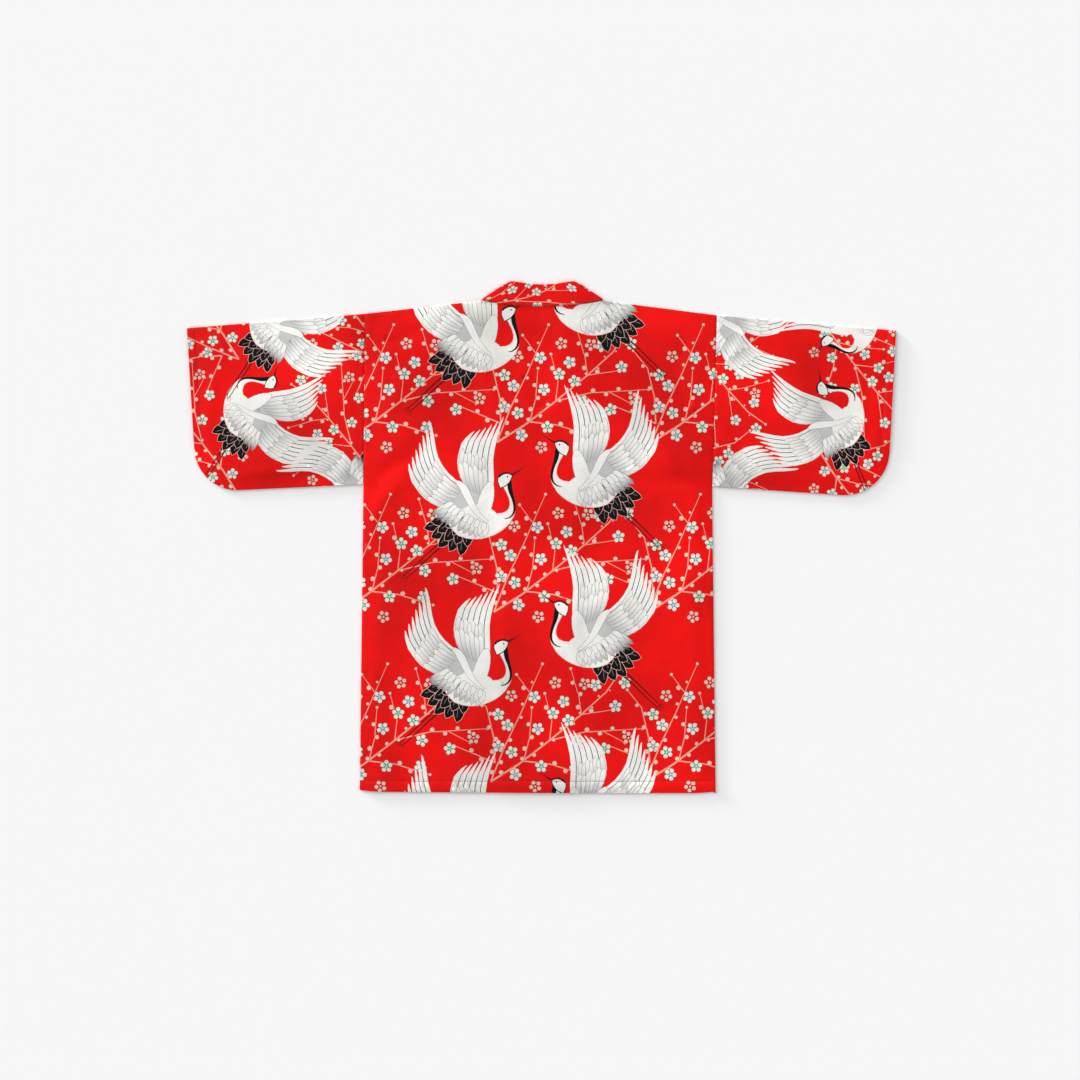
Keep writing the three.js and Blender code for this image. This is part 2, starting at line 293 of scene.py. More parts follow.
def puckers(along, distance, reach, height):
    """Small uneven ripples across a seam, which fade out away from it."""
    wave = np.sin(along / 3.1 + 1.7 * np.sin(along / 17)) + 0.6 * np.sin(along / 7.7 + 2 * np.sin(along / 29))
    return height * wave * np.exp(-((distance / reach) ** 2))


# The print: colours as the eye reads them

RED = (0.935, 0.035, 0.025)
WHITE = (0.965, 0.96, 0.94)
SHADE = (0.78, 0.78, 0.775)
GREY = (0.52, 0.52, 0.525)
LINE = (0.44, 0.44, 0.44)
DARK = (0.2, 0.19, 0.19)
INK = (0.045, 0.04, 0.045)
ROSE = (0.99, 0.78, 0.73)
TWIG = (0.985, 0.66, 0.57)
PETAL = (0.975, 0.89, 0.84)
PINK_PETAL = (0.985, 0.76, 0.69)
TEAL = (0.14, 0.68, 0.54)
BLUE = (0.36, 0.66, 0.70)
MAROON = (0.42, 0.04, 0.04)
LEG = (0.50, 0.045, 0.04)


def linear(colour):
    c = np.asarray(colour, float)
    return np.where(c <= 0.04045, c / 12.92, ((c + 0.055) / 1.055) ** 2.4)


def bezier(points, n=12):
    t = np.linspace(0, 1, n + 1)[:, None]
    p = np.asarray(points, float)
    k = len(p) - 1
    return sum(math.comb(k, i) * t**i * (1 - t) ** (k - i) * p[i] for i in range(k + 1))


def sideways(line):
    step = unit(np.gradient(line, axis=0))
    return xy(-step[:, 1], step[:, 0])


def stroke(line, widths):
    """The outline of a brush stroke along a line, with its widths from one end to the other."""
    line = np.asarray(line, float)
    share = np.linspace(0, 1, len(line))
    half = np.interp(share, np.linspace(0, 1, len(widths)), widths)[:, None] / 2
    out = sideways(line) * half
    return np.concatenate([line + out, (line - out)[::-1]])


def leaf(base, tip, width, bow=0.0, fullness=0.8, n=7):
    """A pointed oval from base to tip. bow bends it to its left, as a share of its length."""
    base, tip = np.asarray(base, float), np.asarray(tip, float)
    along = tip - base
    left = np.array([-along[1], along[0]])
    t = np.linspace(0, 1, n + 1)
    line = base + t[:, None] * along + (4 * t * (1 - t) * bow)[:, None] * left
    half = width / 2 * np.sin(math.pi * t**0.9) ** fullness
    out = sideways(line) * half[:, None]
    return np.concatenate([line + out, (line - out)[::-1][1:-1]])


def resampled(points, step, closed=True):
    """The same line with extra points, so that no two are further apart than step. Its corners are kept."""
    points = np.asarray(points, float)
    ends = np.roll(points, -1, 0) if closed else points[1:]
    out = []
    for a, b in zip(points, ends):
        n = max(1, int(math.ceil(np.linalg.norm(b - a) / step)))
        out.extend(a + (b - a) * k / n for k in range(n))
    if not closed:
        out.append(points[-1])
    return np.array(out)


def disc(x, y, r, n=9, turn=0.0):
    a = np.linspace(0, 2 * math.pi, n, endpoint=False) + turn
    return xy(x + r * np.cos(a), y + r * np.sin(a))


def signed_area(points):
    after = np.roll(points, -1, 0)
    return 0.5 * np.sum(points[:, 0] * after[:, 1] - after[:, 0] * points[:, 1])


def grown(points, d):
    """A closed outline moved outwards by d."""
    step = unit(np.roll(points, -1, 0) - np.roll(points, 1, 0))
    out = xy(step[:, 1], -step[:, 0])
    return points + out * d * np.sign(signed_area(points))


class Drawing:
    """Filled outlines in the order of painting: each one covers what came before it."""

    def __init__(self):
        self.shapes = []

    def fill(self, points, colour, fade=None):
        """fade = (colour, from, to): the colour turns into that one between two points."""
        self.shapes.append((np.asarray(points, float), colour, fade))

    def stamp(self, other, x, y, turn=0.0, scale=1.0, flip=False):
        """Adds another drawing at a place. turn is in degrees."""
        spin = np.array([toward(turn), toward(turn + 90)]) * scale
        mirror = np.array([-1.0 if flip else 1.0, 1.0])

        def place(p):
            return (np.asarray(p, float) * mirror) @ spin + (x, y)

        for points, colour, fade in other.shapes:
            moved = fade and (fade[0], place(fade[1]), place(fade[2]))
            self.shapes.append((place(points), colour, moved))


TIP_FAN = 0.34  # how much wider than its outline a wing gets at the feathers' tips


def wing(d, lead, trail, count, start, parted):
    """Long feathers between a leading and a trailing edge, both from the root outwards.

    They fan out and part over the last share of their length, and each one bends to a point of its own.
    """
    edges = bezier(lead, 24), bezier(trail, 24)
    grid = np.linspace(0, 1, 25)

    def at(t, f):
        sides = [np.stack([np.interp(t, grid, edge[:, k]) for k in (0, 1)], -1) for edge in edges]
        fanned = 0.5 + (np.asarray(f) - 0.5) * (1 + TIP_FAN * smooth((t - 1 + 2 * parted) / (2 * parted)))
        fanned = fanned[..., None]
        return sides[0] * (1 - fanned) + sides[1] * fanned

    blades, seams = [], []
    for k in range(count):
        f0, f1 = k / count, (k + 1) / count
        end = 1 - 0.02 * k
        up = at(np.linspace(start, end - 0.3 * parted, 8), f0)
        back, across = np.array([(0.12, 0.0, 0.3, 0.65), (0.0, 0.12, 0.46, 0.72)])
        tip = at(end - parted * back, f0 + across / count)
        down = at(np.linspace(end - parted, start, 7), f1)
        blades.append(np.concatenate([up, tip, down]))
        if k < count - 1:
            seams.append(at(np.linspace(start, end - 0.8 * parted, 8), f1 - 0.05 / count))
    for blade in blades:
        d.fill(grown(blade, 0.3), ROSE)
    for blade in blades:
        d.fill(blade, WHITE)
    for seam in seams:
        d.fill(stroke(seam, [0.8, 1.2, 1.5, 1.1]), LINE, (DARK, seam[3], seam[-1]))
    return at


FEATHER_LINE = 0.55  # width of the grey line round a short feather


def plumes(d, at, rows):
    """Short feathers over the root of a wing: each row runs from near to far and across from f0 to f1."""
    for near, far, f0, f1, count, tone in rows:
        for k in range(count):
            f = f0 + (f1 - f0) * (k + 0.5) / count
            half = 0.56 * (f1 - f0) / count
            reach = far - 0.04 * ((k * 3) % 2)
            ts = np.linspace(near, reach, 4)
            point = at(np.array([reach + 0.05]), f)
            feather = np.concatenate([at(ts, f - half), point, at(ts[::-1], f + half)])
            d.fill(grown(feather, FEATHER_LINE), LINE)
            d.fill(feather, tone, (WHITE, at(near, f), at(reach, f)))


def crane():
    """A crane that flies up to the right, wings raised. Its origin is where the wings meet the back."""
    d = Drawing()
    legs = (
        [(-30, -88), (-52, -104), (-66, -122), (-93, -146)],
        [(-22, -92), (-50, -108), (-56, -124), (-88, -150)],
    )
    for points in legs:
        line = bezier(points, 7)
        d.fill(stroke(line, [3.2, 2.4, 2.0, 1.4]), INK)
        d.fill(stroke(line, [1.5, 1.2, 0.9, 0.6]), LEG)
        for toe in ((-12, -3), (-9, -8), (-4, -10)):
            d.fill(stroke([line[-1], line[-1] + np.array(toe)], [1.0, 0.5]), MAROON)
    # Tail: three rows of pointed black feathers in a fan
    hub = np.array([5.0, -40.0])
    rows = ((73, 32, 202, 266, 5, 19), (58, 18, 196, 276, 5, 19), (42, 6, 192, 270, 4, 19))
    for radius, inner, first, last, count, width in rows:
        for k in range(count):
            way = toward(lerp(first, last, k / (count - 1)))
            reach = radius - 3 * (k % 2)
            outline = leaf(hub + way * inner, hub + way * reach, width, bow=0.06, fullness=0.65)
            d.fill(grown(outline, 0.7), ROSE)
            d.fill(outline, INK)
            d.fill(stroke([hub + way * (inner + 6), hub + way * (reach - 9)], [0.5, 0.9]), GREY)
    # Body and neck
    body = np.concatenate(
        [
            bezier([(-24, -40), (4, -22), (34, -20), (56, -37)], 8),
            bezier([(60, -41), (82, -42), (92, -28), (83, -10), (73, 0), (69, 12)], 10),
            bezier([(76, 14), (77, 2), (97, -18), (95, -38), (84, -52)], 10),
            bezier([(82, -56), (70, -70), (52, -84), (20, -88), (2, -80)], 10),
            bezier([(-4, -78), (-18, -66), (-24, -56), (-24, -44)], 5),
        ]
    )
    d.fill(grown(body, 1.1), ROSE)
    # Far wing, with the patch that joins it to the back
    lead, trail = [(50, -16), (64, 26), (38, 62), (64, 122)], [(8, 2), (-26, 48), (2, 90), (26, 104)]
    far = wing(d, lead, trail, 6, 0.04, 0.27)
    joint = [(6, 6), (-16, -30), (0, -44), (40, -44), (58, -34), (58, -8), (50, 22), (30, 34), (12, 20)]
    d.fill(bezier(joint, 16), SHADE)
    plumes(d, far, [(0.1, 0.5, 0.22, 0.96, 7, GREY), (0.0, 0.34, 0.18, 0.98, 6, SHADE)])
    shoulder = bezier([(26, -36), (26, -8), (44, 14), (52, 38), (60, 10), (58, -18), (48, -38)], 14)
    d.fill(grown(shoulder, 0.5), LINE)
    d.fill(shoulder, WHITE)
    d.fill(body, WHITE)
    # Near wing, with its grey patch over the flank
    lead, trail = [(6, 6), (-42, 30), (-44, 66), (-62, 108)], [(-26, -34), (-72, -24), (-92, 14), (-92, 56)]
    near = wing(d, lead, trail, 7, 0.0, 0.25)
    patch = [(8, 8), (-30, 10), (-44, -10), (-40, -40), (-20, -46), (16, -40), (20, -12)]
    d.fill(bezier(patch, 14), SHADE)
    plumes(d, near, [(0.0, 0.5, 0.1, 0.96, 8, GREY), (0.0, 0.26, 0.12, 0.98, 7, SHADE)])
    # Feathers that fall from the back over the flank, in three rows, greyest next to the tail
    for row, (reach, width, tone) in enumerate(((42, 10.5, GREY), (33, 9.5, SHADE), (21, 8.5, WHITE))):
        count = 10 - row
        for k in range(count):
            f = (k + 0.5 * (row % 2)) / (count - 0.5)
            root = bezier([(-14, -22), (0, -34), (18, -46), (44, -57)], 20)[int(round(20 * min(f, 1)))]
            tip = root + toward(212 + 50 * f) * reach * (1 - 0.3 * f)
            feather = leaf(root, tip, width, fullness=0.45, n=6)
            d.fill(grown(feather, FEATHER_LINE), LINE)
            far_tone = lerp(np.array(tone), np.array(WHITE), 0.8 * f)
            d.fill(feather, WHITE, (far_tone, lerp(root, tip, 0.4), tip))
    # The arm of the near wing
    arm = stroke(bezier([(-8, 12), (12, 4), (10, -34), (46, -55)], 11), [6, 13, 12, 9, 3])
    d.fill(grown(arm, 0.5), LINE)
    d.fill(arm, WHITE)
    # Black down the front of the neck
    throat = bezier([(80, 24), (84, 8), (76, 2), (87, -12), (99, -26), (94, -48), (74, -49)], 14)
    d.fill(stroke(throat, [3.0, 8.0, 7.5, 5.0, 4.2, 3.2, 1.2]), INK)
    # Head
    cheek = bezier([(62, 14), (60, 26), (70, 30), (84, 27)], 6)
    head = np.concatenate([cheek, bezier([(85, 24), (82, 12), (74, 6), (66, 4)], 6)])
    d.fill(grown(head, 1.5), INK)
    d.fill(head, WHITE)
    d.fill(stroke(bezier([(63, 21), (70, 31), (80, 31), (86, 25)], 7), [1.5, 3.6, 3.4, 2.0]), INK)
    d.fill(stroke(bezier([(69, 27), (76, 30.5), (84, 27)], 5), [0.6, 1.7, 0.8]), LEG)
    d.fill(disc(77.5, 22.5, 1.4, 7), INK)
    d.fill([(84, 27.5), (98, 34.5), (112, 43.5), (97, 32), (85, 23.5)], MAROON)
    return d


def blossom(kind):
    """A plum blossom of five round petals, about 22 mm across. kind is teal, blue or pink."""
    d = Drawing()

    def ring(away, r, n, colour):
        for k in range(5):
            x, y = toward(90 + 72 * k) * away
            d.fill(disc(x, y, r, n), colour)

    if kind == "pink":
        ring(7.1, 4.2, 8, MAROON)
        ring(7.1, 3.6, 8, PINK_PETAL)
        for k in range(5):
            way = toward(126 + 72 * k)
            d.fill(stroke([way * 1.5, way * 6.0], [0.7, 1.0]), MAROON)
        d.fill(disc(0, 0, 1.9, 5), ROSE)
        return d
    ring(6.8, 4.7, 8, MAROON)
    ring(7.0, 3.85, 8, PETAL)
    star = [toward(54 + 36 * k) * (3.4 if k % 2 else 7.2) for k in range(10)]
    d.fill(star, TEAL if kind == "teal" else BLUE)
    ring(2.9, 0.9, 4, PETAL)
    d.fill(disc(0, 0, 1.2, 5), WHITE)
    return d


def bud(r):
    d = Drawing()
    d.fill(disc(0, 0, r + 0.6, 7), MAROON)
    d.fill(disc(0, 0, r, 7), PINK_PETAL)
    return d


# One repeat of the plum twigs, in millimetres
REPEAT_X = 263.0
REPEAT_Y = 288.0
# Points of each twig from its foot up, its width at the foot and at the tip, and where its first bud sits
TWIGS = [
    ([(-62, -40), (-14, -10), (38, 30), (92, 74), (134, 112), (158, 146)], 3.4, 1.8, 24),
    ([(-6, -5), (4, 34), (8, 86)], 2.0, 1.0, 22),
    ([(-6, -5), (38, -10), (98, -28)], 2.4, 1.4, 52),
    ([(38, 30), (42, 64), (30, 110)], 1.8, 0.9, 58),
    ([(38, 30), (96, 44), (196, 50)], 2.2, 1.0, 66),
    ([(128, 46), (166, 26)], 1.4, 0.9, 22),
    ([(92, 74), (88, 104), (74, 152)], 1.8, 0.9, 14),
    ([(92, 74), (146, 82)], 1.6, 1.0, 18),
    ([(208, -8), (206, 36), (194, 86), (170, 116)], 2.6, 1.2, 20),
    ([(208, -8), (176, 6), (132, 24)], 2.2, 1.2, 24),
    ([(-62, -40), (-38, 20), (-10, 78), (10, 124), (26, 160)], 2.6, 1.0, 16),
    ([(4, 112), (-18, 142)], 1.5, 0.9, 12),
]
BUD_STEP = 21  # along a twig
BUD_OFF = 3.6  # beside it, now on the one side and now on the other
# Each blossom's kind, x, y and turn
BLOSSOMS = [
    ("teal", 70, 64, 10), ("blue", 18, 50, 40), ("teal", 44, 76, 0),
    ("blue", 62, 96, 22), ("blue", 150, 88, 5), ("blue", 116, 124, 30),
    ("teal", 166, 128, 15), ("teal", 84, 30, 50), ("teal", 132, 16, 12),
    ("teal", 24, -14, 0), ("blue", 82, -14, 33), ("teal", 214, 74, 8),
    ("blue", -34, 56, 60), ("teal", -26, 10, 20), ("blue", 12, 104, 44),
    ("pink", 172, 34, 0), ("pink", 98, 126, 30), ("pink", 48, 128, 12),
    ("pink", 14, -48, 26), ("blue", -20, -28, 50), ("pink", 236, 106, 40),
    ("blue", 214, 20, 0),
]


def plum_repeat():
    d = Drawing()
    for points, foot, tip, _ in TWIGS:
        d.fill(stroke(resampled(points, 24.0, closed=False), [foot, tip]), TWIG)
    for points, _, _, first in TWIGS:
        line = resampled(points, 2.0, closed=False)
        run = runs(line)
        off = sideways(line)
        for k, place in enumerate(np.arange(first, run[-1] + 1, BUD_STEP)):
            at = np.argmin(np.abs(run - place))
            last = run[-1] - place < BUD_STEP
            x, y = line[-1] if last else line[at] + off[at] * BUD_OFF * (-1) ** k
            d.stamp(bud(2.7 if last else 4.3 - 0.25 * k), x, y)
    for kind, x, y, turn in BLOSSOMS:
        d.stamp(blossom(kind), x, y, turn)
    return d


CRANE = crane()
PLUM = plum_repeat()
LEAN = 0.018  # the print's columns lean by this much to the right on their way up


def plum_field(d, x, y, turn, columns, rows, scale=1.0):
    """Covers a panel with repeats of the twigs. x, y is a fork, and columns and rows count from there."""
    right, up = toward(turn), toward(turn + 90)
    up = (up + right * LEAN) * REPEAT_Y * scale
    right = right * REPEAT_X * scale
    for i in columns:
        for j in rows:
            at = np.array([x, y]) + i * right + j * up
            d.stamp(PLUM, at[0], at[1], turn, scale)


def panel_print(field, cranes):
    """A field of twigs, and cranes over it: each has x, y, turn, scale, and whether it is mirrored."""
    d = Drawing()
    plum_field(d, *field)
    for place in cranes:
        d.stamp(CRANE, *place)
    return d


def body_print():
    left = [(x, y, -1) for x, y in ((-129.5, 364.9), (-135.8, 81.5), (-142.1, -201.9), (-148.8, -485.7))]
    right = [(x, y, 0, 1, True) for x, y in ((113, 427.1), (108, 134.7), (106.8, -137.3), (102.9, -438.2))]
    return panel_print((-14, 201, 0, range(-2, 2), range(-3, 2)), left + right)


def front_print(sign):
    cranes = [(sign * 185, y, 0, 1, sign > 0) for y in (330, 42, -246)]
    return panel_print((40 * sign, 120, 0, range(-2, 2), range(-3, 2)), cranes)


def sleeve_print(name):
    if name == "left":
        cranes = [
            (-462, 196, -79, 0.88, True),
            (-418, 344, -79, 0.88, True),
            (-340, 88, 104, 0.88, True),
            (-380, 560, 88, 0.88),
            (-520, 600, 88, 0.88),
        ]
        return panel_print((-296, 120, 90, range(-1, 3), range(-1, 2), 0.88), cranes)
    cranes = [
        (332, 349, -92, 0.88, True),
        (507.5, 388, 81, 0.8, True),
        (329, 80, -98, 0.88),
        (467, 186, 68, 0.88),
        (400, 590, 84, 0.88, True),
    ]
    return panel_print((252, 330, -90, range(-2, 3), range(-1, 2), 0.88), cranes)


def collar_print(length):
    d = Drawing()
    for k in range(int(length // 230) + 2):
        d.stamp(PLUM, -60 + 230 * k, -16 + 9 * (k % 3), -14 + 11 * (k % 2), 0.8)
    return d


# Meshes from drawings

EDGE_STEP = 4.0  # between points along the edge of a piece
ROLL_INSETS = (0.3, 1.2)  # of the lines along a turned edge
INNER_STEP = 9.5  # between the points of a shell's inner side
INNER_INSET = 5.0  # of those points from its edge
NUDGE = 0.05  # how far apart the points lie that a surface's direction is measured from


def net(low, high, step, rise, shift=0.0):
    """A flat net of points. rise is from row to row, and every other row is shifted."""
    points = np.stack(np.meshgrid(np.arange(low[0], high[0], step), np.arange(low[1], high[1], rise)), -1)
    points[1::2, :, 0] += shift
    return points.reshape(-1, 2)


def inside(points, outline):
    """Which points lie inside a closed outline."""
    x, y = points[:, 0], points[:, 1]
    result = np.zeros(len(points), bool)
    ends = np.roll(outline, -1, 0)
    for (ax, ay), (bx, by) in zip(outline, ends):
        if ay == by:
            continue
        crosses = (ay > y) != (by > y)
        result ^= crosses & (x < (bx - ax) * (y - ay) / (by - ay) + ax)
    return result


def triangulated(loops, lines=(), points=()):
    """Triangles whose edges follow closed loops and open lines, through extra points as well."""
    verts, edges = [], []
    for chain, closed in [(loop, True) for loop in loops] + [(line, False) for line in lines]:
        base, n = len(verts), len(chain)
        verts.extend(Vector(p) for p in chain)
        edges.extend((base + k, base + k + 1) for k in range(n - 1))
        if closed:
            edges.append((base + n - 1, base))
    verts.extend(Vector(p) for p in points)
    found = delaunay_2d_cdt(verts, edges, [], 0, 1e-4, False)
    return np.array([v[:] for v in found[0]]), np.array([f[:] for f in found[2]], int)


def on_top(centres, shapes):
    """The number of the last shape that holds each point, and -1 where the cloth is bare."""
    top = np.full(len(centres), -1)
    order = np.argsort(centres[:, 0])
    xs, ys = centres[order].T
    for number, (points, _, _) in enumerate(shapes):
        low, high = points.min(0), points.max(0)
        a, b = np.searchsorted(xs, (low[0], high[0]))
        near = order[a:b][(ys[a:b] > low[1]) & (ys[a:b] < high[1])]
        if len(near):
            top[near[inside(centres[near], points)]] = number
    return top


def seen(shapes, outline):
    """The shapes that later ones don't cover."""
    flat, tris = triangulated([outline] + [points for points, _, _ in shapes])
    top = np.unique(on_top(flat[tris].mean(1), shapes))
    return [shapes[k] for k in top[top >= 0]]


def painted(centres, corners, shapes):
    """The colour of each triangle's corners: that of the last shape that holds its centre."""
    colours = np.empty(corners.shape[:2] + (3,))
    colours[:] = linear(RED)
    top = on_top(centres, shapes)
    order = np.argsort(top, kind="stable")
    starts = np.searchsorted(top[order], np.arange(len(shapes) + 1))
    for (_, colour, fade), a, b in zip(shapes, starts[:-1], starts[1:]):
        if a == b:
            continue
        here = order[a:b]
        colours[here] = linear(colour)
        if fade:
            far, start, end = fade
            way = np.asarray(end) - start
            share = smooth((corners[here] - start) @ way / (way @ way))[..., None]
            colours[here] = lerp(linear(colour), linear(far), share)
    return colours


def within(shapes, outline):
    """The shapes that have a point inside an outline, in their order."""
    owner = np.concatenate([np.full(len(points), k) for k, (points, _, _) in enumerate(shapes)])
    kept = np.unique(owner[inside(np.concatenate([points for points, _, _ in shapes]), outline)])
    return [shapes[k] for k in kept]


def edge_loop(triangles):
    """The triangles' outer edge as a list of point numbers."""
    follow = {}
    pairs = np.concatenate([triangles[:, [0, 1]], triangles[:, [1, 2]], triangles[:, [2, 0]]])
    known = set(map(tuple, pairs.tolist()))
    for a, b in known:
        if (b, a) not in known:
            follow[a] = b
    first = min(follow)
    loop = [first]
    while follow[loop[-1]] != first:
        loop.append(follow[loop[-1]])
    return loop


def linked(name, data):
    """A new object in the scene."""
    obj = bpy.data.objects.new(name, data)
    bpy.context.scene.collection.objects.link(obj)
    return obj


def smooth_object(name, points, faces, materials):
    """A new smooth mesh object. Its points are in millimetres."""
    mesh = bpy.data.meshes.new(name)
    mesh.from_pydata((points * MM).tolist(), [], faces)
    for material in materials:
        mesh.materials.append(material)
    mesh.polygons.foreach_set("use_smooth", np.ones(len(faces), bool))
    return linked(name, mesh)


def cloth_shell(name, outline, drawing, place, lines=(), step=7.0, flip=False, rows=1):
    """A thin shell of cloth, with the print on its outer side.

    outline and lines are flat, in millimetres, and place gives the outer side's points in space. rows is how
    many strips the flat pattern is cut into where it is laid out for textures.
    """
    outline = resampled(outline if signed_area(outline) > 0 else outline[::-1], EDGE_STEP)
    low, high = outline.min(0), outline.max(0)
    grid = net(low, high, step, step * 0.866, step / 2)
    grid = grid[inside(grid, grown(outline, -step / 3))]
    shapes = seen(within(drawing.shapes, outline), outline)
    rolls = [grown(outline, -inset) for inset in ROLL_INSETS]
    flat, tris = triangulated([outline, *rolls] + [points for points, _, _ in shapes], lines, grid)
    tris = tris[inside(flat[tris].mean(1), outline)]
    used = np.unique(tris)
    flat, tris = flat[used], np.searchsorted(used, tris)
    colours = painted(flat[tris].mean(1), flat[tris], shapes)

    loop = edge_loop(tris)
    coarse = net(low, high, INNER_STEP, INNER_STEP)
    coarse = coarse[inside(coarse, grown(outline, -INNER_INSET))]
    back_flat, back_tris = triangulated([flat[loop]], lines, coarse)
    back_tris = back_tris[inside(back_flat[back_tris].mean(1), flat[loop])]

    def at(points, depth):
        """Points in space, that far below the outer side."""
        p = place(points)
        du = place(points + (NUDGE, 0)) - place(points - (NUDGE, 0))
        dv = place(points + (0, NUDGE)) - place(points - (0, NUDGE))
        return p - unit(np.cross(du, dv)) * (-depth if flip else depth)

    outer, inner = at(flat, 0), at(back_flat, CLOTH)
    n = len(outer)
    # The inner side's points on the edge come first, in the edge's order
    rim = []
    for k, a in enumerate(loop):
        after = (k + 1) % len(loop)
        b = loop[after]
        rim.append((b, a, n + k))
        rim.append((b, n + k, n + after))
    faces = np.concatenate([tris, back_tris[:, ::-1] + n, np.array(rim)])
    if flip:
        faces = faces[:, ::-1]
        colours = colours[:, ::-1]
    obj = smooth_object(name, np.concatenate([outer, inner]), faces.tolist(), (PRINTED, WRONG_SIDE))
    mesh = obj.data
    kinds = np.ones(len(faces), np.int32)
    kinds[: len(tris)] = 0
    mesh.polygons.foreach_set("material_index", kinds)

    everywhere = np.ones((len(faces), 3, 4))
    everywhere[..., :3] = linear(RED)
    everywhere[: len(tris), :, :3] = colours
    attribute = mesh.color_attributes.new(name="print", type="FLOAT_COLOR", domain="CORNER")
    attribute.data.foreach_set("color", everywhere.ravel())

    lay_out(mesh, np.concatenate([flat, back_flat]), faces, kinds, low, high, rows)
    return obj


def lay_out(mesh, flat, faces, kinds, low, high, rows):
    """Texture places: the outer side's pattern large, the inner side's and the rim's small beside it."""
    size = high - low
    strip = size[0] / rows
    pad = 30.0 if rows > 1 else 0.0
    height = (size[1] + pad) * rows
    big = 0.96 / max(1.35 * strip + 2 * pad, height)
    centres = flat[faces].mean(1)
    row = np.clip(((centres[:, 0] - low[0]) // strip).astype(int), 0, rows - 1)
    corner = flat[faces] - low
    corner[..., 0] -= (row * strip)[:, None]
    outer = corner + np.stack([np.full(len(row), pad), row * (size[1] + pad)], 1)[:, None]
    uv = 0.02 + outer * big
    inner = kinds == 1
    uv[inner] = outer[inner] * big * 0.3 + (0.03 + (strip + 2 * pad) * big, 0.02)
    layer = mesh.uv_layers.new(name="OFBake")
    layer.data.foreach_set("uv", uv.reshape(-1))


# Materials

WEAVE_SCALE = 420.0
THREAD_HEIGHT = 0.0002  # in metres, like the next one
RIPPLE_HEIGHT = 0.0012
DYE_AND_PAINTED_SHADE = (0.66, 1.06)  # how dark and how light the soft patches get: mostly painted light and shade, with a little real unevenness of the dye
GRAIN = (0.95, 1.05)
ROUGHNESS = (0.6, 0.74)
INNER_DYE = (0.56, 0.075, 0.06, 1)


def principled(name):
    """A new material with its node tree and its shader."""
    material = bpy.data.materials.new(name)
    material.use_nodes = True
    return material, material.node_tree, material.node_tree.nodes["Principled BSDF"]


def node(tree, kind, inputs=(), **settings):
    made = tree.nodes.new(kind)
    for key, value in settings.items():
        setattr(made, key, value)
    for key, value in dict(inputs).items():
        if isinstance(value, bpy.types.NodeSocket):
            tree.links.new(value, made.inputs[key])
        else:
            made.inputs[key].default_value = value
    return made


def bumped(tree, height, strength, distance):
    return node(tree, "ShaderNodeBump", {"Height": height, "Strength": strength, "Distance": distance})


def spread_over(tree, noise, low, high):
    """A noise's usual values of 0.3 to 0.7, spread from low to high."""
    values = {"Value": noise.outputs["Fac"], "From Min": 0.3, "From Max": 0.7, "To Min": low, "To Max": high}
    return node(tree, "ShaderNodeMapRange", values).outputs[0]


def cloth_material(name, outer):
    """Smooth plain-woven cloth. The outer side shows the print, the inner side its paler dye."""
    material, tree, shader = principled(name)
    where = node(tree, "ShaderNodeTexCoord").outputs["Object"]
    patches = node(tree, "ShaderNodeTexNoise", {"Vector": where, "Scale": 6.0, "Detail": 4.0})
    slubs = node(tree, "ShaderNodeTexNoise", {"Vector": where, "Scale": WEAVE_SCALE, "Detail": 2.0})
    wave = {"Vector": where, "Scale": WEAVE_SCALE}
    warp = node(tree, "ShaderNodeTexWave", wave, bands_direction="X").outputs["Fac"]
    weft = node(tree, "ShaderNodeTexWave", wave, bands_direction="Y").outputs["Fac"]
    threads = node(tree, "ShaderNodeMath", {0: warp, 1: weft}, operation="MULTIPLY")
    # Soft patches of painted light and shade, with a little real unevenness of the dye, darken and lighten
    # the colour
    dye_and_painted_shade = spread_over(tree, patches, *DYE_AND_PAINTED_SHADE)
    grain = spread_over(tree, slubs, *GRAIN)
    shade = node(tree, "ShaderNodeMath", {0: dye_and_painted_shade, 1: grain}, operation="MULTIPLY")
    if outer:
        colour = node(tree, "ShaderNodeVertexColor", layer_name="print").outputs["Color"]
    else:
        colour = node(tree, "ShaderNodeRGB").outputs[0]
        colour.default_value = INNER_DYE
    tinted = node(tree, "ShaderNodeVectorMath", {0: colour, 1: shade.outputs[0]}, operation="MULTIPLY")
    tree.links.new(tinted.outputs[0], shader.inputs["Base Color"])
    tree.links.new(spread_over(tree, slubs, *ROUGHNESS), shader.inputs["Roughness"])
    weave = bumped(tree, threads.outputs[0], 0.25, THREAD_HEIGHT)
    ripples = {"Vector": where, "Scale": 38.0, "Detail": 2.0, "Roughness": 0.55}
    ripple = node(tree, "ShaderNodeTexNoise", ripples)
    bump = bumped(tree, ripple.outputs["Fac"], 0.5, RIPPLE_HEIGHT)
    tree.links.new(weave.outputs[0], bump.inputs["Normal"])
    tree.links.new(bump.outputs[0], shader.inputs["Normal"])
    shader.inputs["Specular IOR Level"].default_value = 0.12
    shader.inputs["Sheen Weight"].default_value = 0.04
    shader.inputs["Sheen Roughness"].default_value = 0.4
    return material


